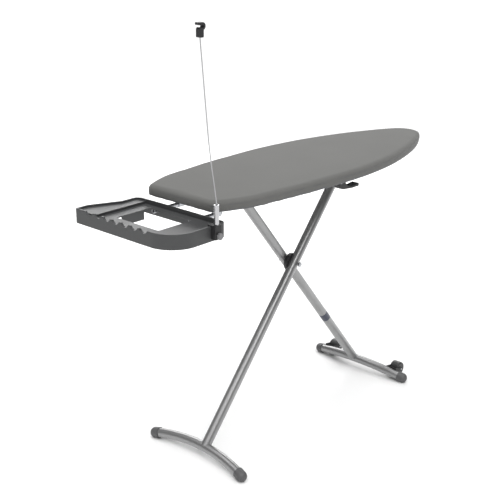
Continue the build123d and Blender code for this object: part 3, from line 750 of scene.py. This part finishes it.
@dataclass
class PaddedTop:
    """The fitted cotton cover, the felt under it and the stitches of the hem. Each size is in metres."""

    top: float = 832.5 * MM
    under: float = 803.5 * MM
    side_level: float = 827.5 * MM
    pad_thickness: float = 8.5 * MM
    pad_top: float = 829.5 * MM
    hem: float = 42 * MM
    cloth: float = 1.4 * MM
    voxel: float = 5.5 * MM
    pressure: float = 4.0
    frames: int = 20
    cap: float = 3.0 * MM
    gathers: int = 92
    ruffle: float = 0.6 * MM
    ripple: float = 0.5 * MM
    proud: float = 2.2 * MM
    drop: float = 1.5 * MM
    soft_low: float = 2.5 * MM
    soft_high: float = 8 * MM
    edge_steps: int = 4
    middle_x: float = 98 * MM
    stitch_inset: float = 35 * MM
    stitch_pitch: float = 4.2 * MM
    stitch_length: float = 1.6 * MM
    stitch_thread: float = 0.45 * MM

    def edge_levels(self) -> list[tuple[float, float]]:
        """The cover's edge profile before it is puffed up.

        Returns:
            (inset, z) rings from the bottom to the top.
        """
        low, high = self.under - self.drop, self.top - 0.2 * MM
        turns = [math.pi / 2 * k / self.edge_steps for k in range(self.edge_steps + 1)]
        lower = [(self.soft_low * (1 - math.sin(turn)) - self.proud,
                  low + self.soft_low * (1 - math.cos(turn))) for turn in turns]
        upper = [(self.soft_high * (1 - math.cos(turn)) - self.proud,
                  high - self.soft_high * (1 - math.sin(turn))) for turn in turns]
        return lower + upper

    def build_cover(self) -> bpy.types.Object:
        """Makes the cover: puffed by a cloth simulation, opened under, given its thickness.

        Returns:
            The cover.
        """
        outline = outline_of("cover", self.side_level, 360)
        piece = add_object("board_cover", slab_mesh("board_cover", outline, self.edge_levels()))
        remesh = piece.modifiers.new("remesh", "REMESH")
        remesh.mode = "VOXEL"
        remesh.voxel_size = self.voxel
        apply_modifiers(piece)
        self._relax(piece, 4)
        start = [v.co.copy() for v in piece.data.vertices]
        self._puff(piece)
        self._cap(piece, start)
        self._relax(piece, 3)
        self._shape(piece)
        self._open_under(piece, outline)
        thick = piece.modifiers.new("thickness", "SOLIDIFY")
        thick.thickness = self.cloth
        thick.offset = -1
        thick.use_even_offset = False
        apply_modifiers(piece)
        dress(piece, CLOTH.build())
        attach(piece, "board")
        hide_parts("cover")
        return piece

    def _relax(self, piece: bpy.types.Object, rounds: int) -> None:
        """Smooths the remeshed surface.

        Args:
            piece: the cover.
            rounds: how many times.
        """
        work = bmesh.new()
        work.from_mesh(piece.data)
        for _ in range(rounds):
            bmesh.ops.smooth_vert(work, verts=work.verts, factor=0.5, use_axis_x=True, use_axis_y=True,
                                  use_axis_z=True)
        work.to_mesh(piece.data)
        work.free()

    def _puff(self, piece: bpy.types.Object) -> None:
        """Runs the cloth simulation and keeps its last frame.

        Args:
            piece: the cover.
        """
        cloth = piece.modifiers.new("cloth", "CLOTH")
        settings = cloth.settings
        settings.quality = 5
        settings.mass = 0.3
        settings.tension_stiffness = 15
        settings.compression_stiffness = 15
        settings.shear_stiffness = 5
        settings.bending_stiffness = 0.5
        settings.use_pressure = True
        settings.uniform_pressure_force = self.pressure
        settings.effector_weights.gravity = 0
        cloth.point_cache.frame_start = 1
        cloth.point_cache.frame_end = self.frames
        for step in range(1, self.frames + 1):
            bpy.context.scene.frame_set(step)
        apply_modifiers(piece)
        bpy.context.scene.frame_set(1)

    def _cap(self, piece: bpy.types.Object, start: Sequence[Vector]) -> None:
        """Holds each point near where it started.

        Args:
            piece: the cover.
            start: the places before the simulation.
        """
        for vertex, before in zip(piece.data.vertices, start):
            move = vertex.co - before
            if move.length > self.cap:
                vertex.co = before + move.normalized() * self.cap

    def _shape(self, piece: bpy.types.Object) -> None:
        """Adds the gathers of the drawn hem, and settles the cloth on the pad.

        Args:
            piece: the cover.
        """
        middle = (self.top + self.under) / 2
        for vertex in piece.data.vertices:
            place = vertex.co
            turn = math.atan2(place.y, place.x - self.middle_x)
            gather = math.sin(turn * self.gathers + 2.5 * noise.noise(Vector((turn * 4, 0, 3))))
            low = max(0.0, min(1.0, (middle - place.z) / (middle - self.under)))
            place.z += self.ruffle * low * gather * (0.6 + 0.4 * noise.noise(Vector((turn * 9, 1, 7))))
            if place.z > middle:
                place.z += self.ripple * noise.noise(Vector((place.x * 5, place.y * 8, 2)))
            place.z = max(self.under - self.drop - 1 * MM, min(self.top + 1 * MM, place.z))

    def _open_under(self, piece: bpy.types.Object, outline: Sequence[Vector]) -> None:
        """Cuts the underside away inside the hem and evens out the cut.

        Args:
            piece: the cover.
            outline: the board's outline.
        """
        inner = drawn_in(outline, self.hem)
        work = bmesh.new()
        work.from_mesh(piece.data)
        doomed = [f for f in work.faces if f.normal.z < -0.3 and self._inside(f.calc_center_median(), inner)]
        bmesh.ops.delete(work, geom=doomed, context="FACES")
        for _ in range(6):
            rim = [v for v in work.verts if v.is_boundary]
            moves = {v: sum((e.other_vert(v).co for e in v.link_edges if e.is_boundary), Vector()) / 2
                     for v in rim}
            for vertex, goal in moves.items():
                vertex.co = vertex.co.lerp(goal, 0.6)
        work.to_mesh(piece.data)
        work.free()

    @staticmethod
    def _inside(place: Vector, ring: Sequence[Vector]) -> bool:
        """Whether a place is inside a closed ring, seen from above.

        Args:
            place: the place.
            ring: the ring's points.

        Returns:
            True inside.
        """
        inside = False
        for a, b in zip(ring, list(ring[1:]) + [ring[0]]):
            if (a.y > place.y) != (b.y > place.y):
                if place.x < (b.x - a.x) * (place.y - a.y) / (b.y - a.y) + a.x:
                    inside = not inside
        return inside

    def build_pad(self) -> bpy.types.Object:
        """Makes the felt under the cover.

        Returns:
            The pad.
        """
        outline = outline_of("cover", self.side_level, 220)
        low = self.top - 1.5 * MM - self.pad_thickness
        levels = [(7 * MM, low), (6.5 * MM, low + 1 * MM), (6.5 * MM, self.pad_top - 5 * MM),
                  (9 * MM, self.pad_top - 2.5 * MM), (14 * MM, self.pad_top - 0.5 * MM)]
        piece = add_object("felt_pad", slab_mesh("felt_pad", outline, levels))
        dress(piece, FELT.build(), smooth=False)
        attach(piece, "board")
        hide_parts("pad")
        return piece

    def build_stitches(self) -> bpy.types.Object:
        """Lays the row of stitches round the hem.

        Returns:
            The stitches.
        """
        row = [Vector((p.x, p.y, self.under - self.drop - 0.1 * MM))
               for p in drawn_in(outline_of("cover", self.side_level, 300), self.stitch_inset)]
        piece = add_object("hem_stitches", path_mesh("hem_stitches", row, True))
        values = {"Pitch": self.stitch_pitch, "Length": self.stitch_length, "Thread": self.stitch_thread}
        stitch_tree().run(piece, values, STITCH.build())
        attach(piece, "board")
        return piece


# ---------------------------------------------------------------- the legs


@dataclass
class CrossedLegs:
    """The foot bars of the two legs, swept along their bends.

    Each size is in metres, and the angle of the legs to the floor is in degrees.
    """

    pivot_x: float = 7 * MM
    angle: float = 50.1
    lower: float = 621.3 * MM
    span: float = 359 * MM
    sag: float = 27 * MM
    foot_z: float = 36.2 * MM
    tube: float = 29 * MM
    step: float = 8 * MM
    bends: int = 40

    def bar_path(self, way: int) -> list[Vector]:
        """The axis of one foot bar.

        Args:
            way: -1 for the leg whose foot is at the tray's end, 1 for the other.

        Returns:
            Its points from the near end to the far end.
        """
        tilt = math.radians(self.angle)
        down = Vector((way * math.cos(tilt), 0, -math.sin(tilt)))
        middle = Vector((self.pivot_x + way * self.lower * math.cos(tilt), 0, self.foot_z))
        radius = ((self.span / 2) ** 2 + self.sag ** 2) / (2 * self.sag)
        points = []
        for k in range(self.bends + 1):
            y = self.span * (k / self.bends - 0.5)
            points.append(middle + down * (radius - math.sqrt(radius ** 2 - y ** 2)) + Vector((0, y, 0)))
        return points

    def build(self) -> list[bpy.types.Object]:
        """Makes both foot bars.

        Returns:
            The two bars.
        """
        tree = tube_tree()
        paint = SILVER.build()
        bars = []
        for way, leg in ((-1, "leg_a"), (1, "leg_b")):
            name = f"{leg}_foot_bar"
            piece = add_object(f"{name}_tube", path_mesh(name, self.bar_path(way), False))
            tree.run(piece, {"Radius": self.tube / 2, "Step": self.step, "Sides": 40}, paint)
            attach(piece, leg)
            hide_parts(name)
            bars.append(piece)
        return bars


@dataclass
class ClampKnob:
    """The grip ribs of the holder's clamp knob. Each size is in metres."""

    ribs: int = 16
    rib: float = 0.9 * MM
    width: float = 6 * MM
    sunk: float = 0.4 * MM
    grip_middle: float = 3.75 * MM

    def build(self) -> bpy.types.Object:
        """Makes the ribs round the knob.

        Returns:
            The ribs.
        """
        low, high = (Vector(corner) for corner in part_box("clamp_knob"))
        middle = Vector(((low.x + high.x) / 2, low.y + self.grip_middle, (low.z + high.z) / 2))
        piece = add_object("knob_ribs", bpy.data.meshes.new("knob_ribs"))
        values = {"Count": self.ribs, "Ring": (high.z - low.z) / 2 - self.sunk, "Rib": self.rib,
                  "Width": self.width, "Middle": tuple(middle)}
        rib_tree().run(piece, values, KNOB_GREY.build())
        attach(piece, "knob")
        return piece


@dataclass
class PlainParts:
    """The CAD nodes that keep their shape and take a finish."""

    def finishes(self) -> dict[str, Any]:
        """The finish of each CAD node.

        Returns:
            A finish for each node's name.
        """
        zinc = ("near_rail far_rail near_hinge_bracket far_hinge_bracket near_lever_bracket "
                "far_lever_bracket frame_screws leg_a_crossbar leg_b_crossbar pivot_bolt pivot_nuts "
                "carriage_tie height_rack lever_rod near_wheel_axle far_wheel_axle near_arm_hanger "
                "far_arm_hanger near_tray_arm far_tray_arm")
        black = ("leg_a_top_plug leg_b_top_plug retaining_caps pivot_bush pivot_spacer near_shoe far_shoe "
                 "lever_paddle lock_pawl near_wheel_carrier far_wheel_carrier flex_clamp flex_clip")
        caps = "leg_a_near_foot_cap leg_a_far_foot_cap leg_b_near_foot_cap leg_b_far_foot_cap"
        coat = "deck rim_frame tail_brace rear_brace middle_brace rail_brace front_brace"
        groups = {ZINC: zinc, BLACK: black, CAP_GREY: caps, COAT: coat, SILVER: "leg_a_tube leg_b_tube",
                  TRAY: "iron_tray tray_hanging_wall", LABEL: "leg_label", BRIGHT: "rod_socket rod_ferrule",
                  WIRE: "flex_wire", KNOB_GREY: "clamp_knob", WHEEL: "near_wheel far_wheel"}
        return {node: finish for finish, names in groups.items() for node in names.split()}

    def build(self) -> int:
        """Dresses the nodes.

        Returns:
            How many were dressed.
        """
        made: dict[str, bpy.types.Material] = {}
        finishes = self.finishes()
        for node, finish in finishes.items():
            if finish.name not in made:
                made[finish.name] = finish.build()
            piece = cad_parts[node]
            for slot in piece.material_slots:
                slot.material = made[finish.name]
        return len(finishes)


# ---------------------------------------------------------------- the studio


@dataclass
class Studio:
    """The floor, the soft lights and the camera.

    Each size is in metres, the lens in millimetres and the roll in degrees.
    """

    target: tuple[float, float, float] = (-0.1795, 0.0, 0.5992)
    eye: tuple[float, float, float] = (-2.1333, -1.7390, 1.5264)
    lens: float = 67.83
    roll: float = 0.551
    reach: float = 60.0
    fill: float = 0.2
    overhead: float = 3.3

    def build(self) -> None:
        """Makes the floor, the lights and the camera."""
        self._floor()
        self._world()
        self._overhead()
        self._softbox("key", (-1.9, -2.2, 2.3), (0.9, 1.8), 14)
        self._softbox("back", (2.3, 2.5, 1.9), (3.0, 1.4), 60)
        self._camera()

    def _floor(self) -> None:
        """Lays the pale floor."""
        maker = ShaderMaker("studio_floor")
        grain = maker.noise(3, 2.0)
        varying = {"Base Color": maker.blend(grain, (0.93, 0.93, 0.93), (0.95, 0.95, 0.95)),
                   "Roughness": (0.85 + grain * 0.1).clamped()}
        mesh = bpy.data.meshes.new("floor")
        corners = [(x * self.reach, y * self.reach, 0) for x, y in ((-1, -1), (1, -1), (1, 1), (-1, 1))]
        mesh.from_pydata(corners, [], [(0, 1, 2, 3)])
        floor = add_object("floor", mesh)
        dress(floor, maker.finish({"Specular IOR Level": 0.1}, varying), smooth=False)

    def _world(self) -> None:
        """Fills the room with even light, and makes the far wall white where the camera sees it."""
        world = bpy.data.worlds.new("studio")
        world.use_nodes = True
        tree = world.node_tree
        background = next(n for n in tree.nodes if n.type == "BACKGROUND")
        background.inputs["Color"].default_value = (1, 1, 1, 1)
        strength = tree.nodes.new("ShaderNodeMath")
        strength.operation = "MULTIPLY_ADD"
        strength.inputs[1].default_value = 1.0
        strength.inputs[2].default_value = self.fill
        path = tree.nodes.new("ShaderNodeLightPath")
        tree.links.new(path.outputs["Is Camera Ray"], strength.inputs[0])
        tree.links.new(strength.outputs[0], background.inputs["Strength"])
        bpy.context.scene.world = world
        bpy.context.scene.view_settings.view_transform = "Standard"

    def _overhead(self) -> None:
        """Hangs one very wide, even light over everything."""
        light = bpy.data.lights.new("overhead", "SUN")
        light.energy = self.overhead
        light.angle = math.radians(80)
        lamp = bpy.data.objects.new("overhead", light)
        lamp.rotation_euler = (math.radians(8), math.radians(-10), 0)
        bpy.context.scene.collection.objects.link(lamp)

    def _softbox(self, name: str, place: Sequence[float], size: Sequence[float], power: float) -> None:
        """Hangs one softbox that faces the target.

        Args:
            name: the light's name.
            place: where it hangs.
            size: its width and height.
            power: its power in watts.
        """
        light = bpy.data.lights.new(name, "AREA")
        light.shape = "RECTANGLE"
        light.size, light.size_y = size
        light.energy = power
        lamp = bpy.data.objects.new(name, light)
        lamp.location = place
        lamp.rotation_euler = (Vector(self.target) - Vector(place)).to_track_quat("-Z", "Y").to_euler()
        bpy.context.scene.collection.objects.link(lamp)

    def _camera(self) -> None:
        """Sets up the camera."""
        data = bpy.data.cameras.new("camera")
        data.lens = self.lens
        data.sensor_width = 36
        camera = bpy.data.objects.new("camera", data)
        look = (Vector(self.target) - Vector(self.eye)).to_track_quat("-Z", "Y")
        turn = Matrix.Rotation(math.radians(self.roll), 4, "Z")
        camera.matrix_world = Matrix.Translation(self.eye) @ look.to_matrix().to_4x4() @ turn
        bpy.context.scene.collection.objects.link(camera)
        bpy.context.scene.camera = camera


def main() -> None:
    """Builds the scene, one sub-assembly after another."""
    Studio().build()
    log.info("dressed %d CAD pieces", PlainParts().build())
    top = PaddedTop()
    for make in (top.build_cover, top.build_pad, top.build_stitches):
        piece = make()
        log.info("%s: %d faces", piece.name, len(piece.data.polygons))
    for piece in [*CrossedLegs().build(), ClampKnob().build()]:
        log.info("%s: %d faces", piece.name, len(piece.data.polygons))


if __name__ == "__main__":
    logging.basicConfig(level=logging.INFO, format="%(name)s %(message)s")
    main()
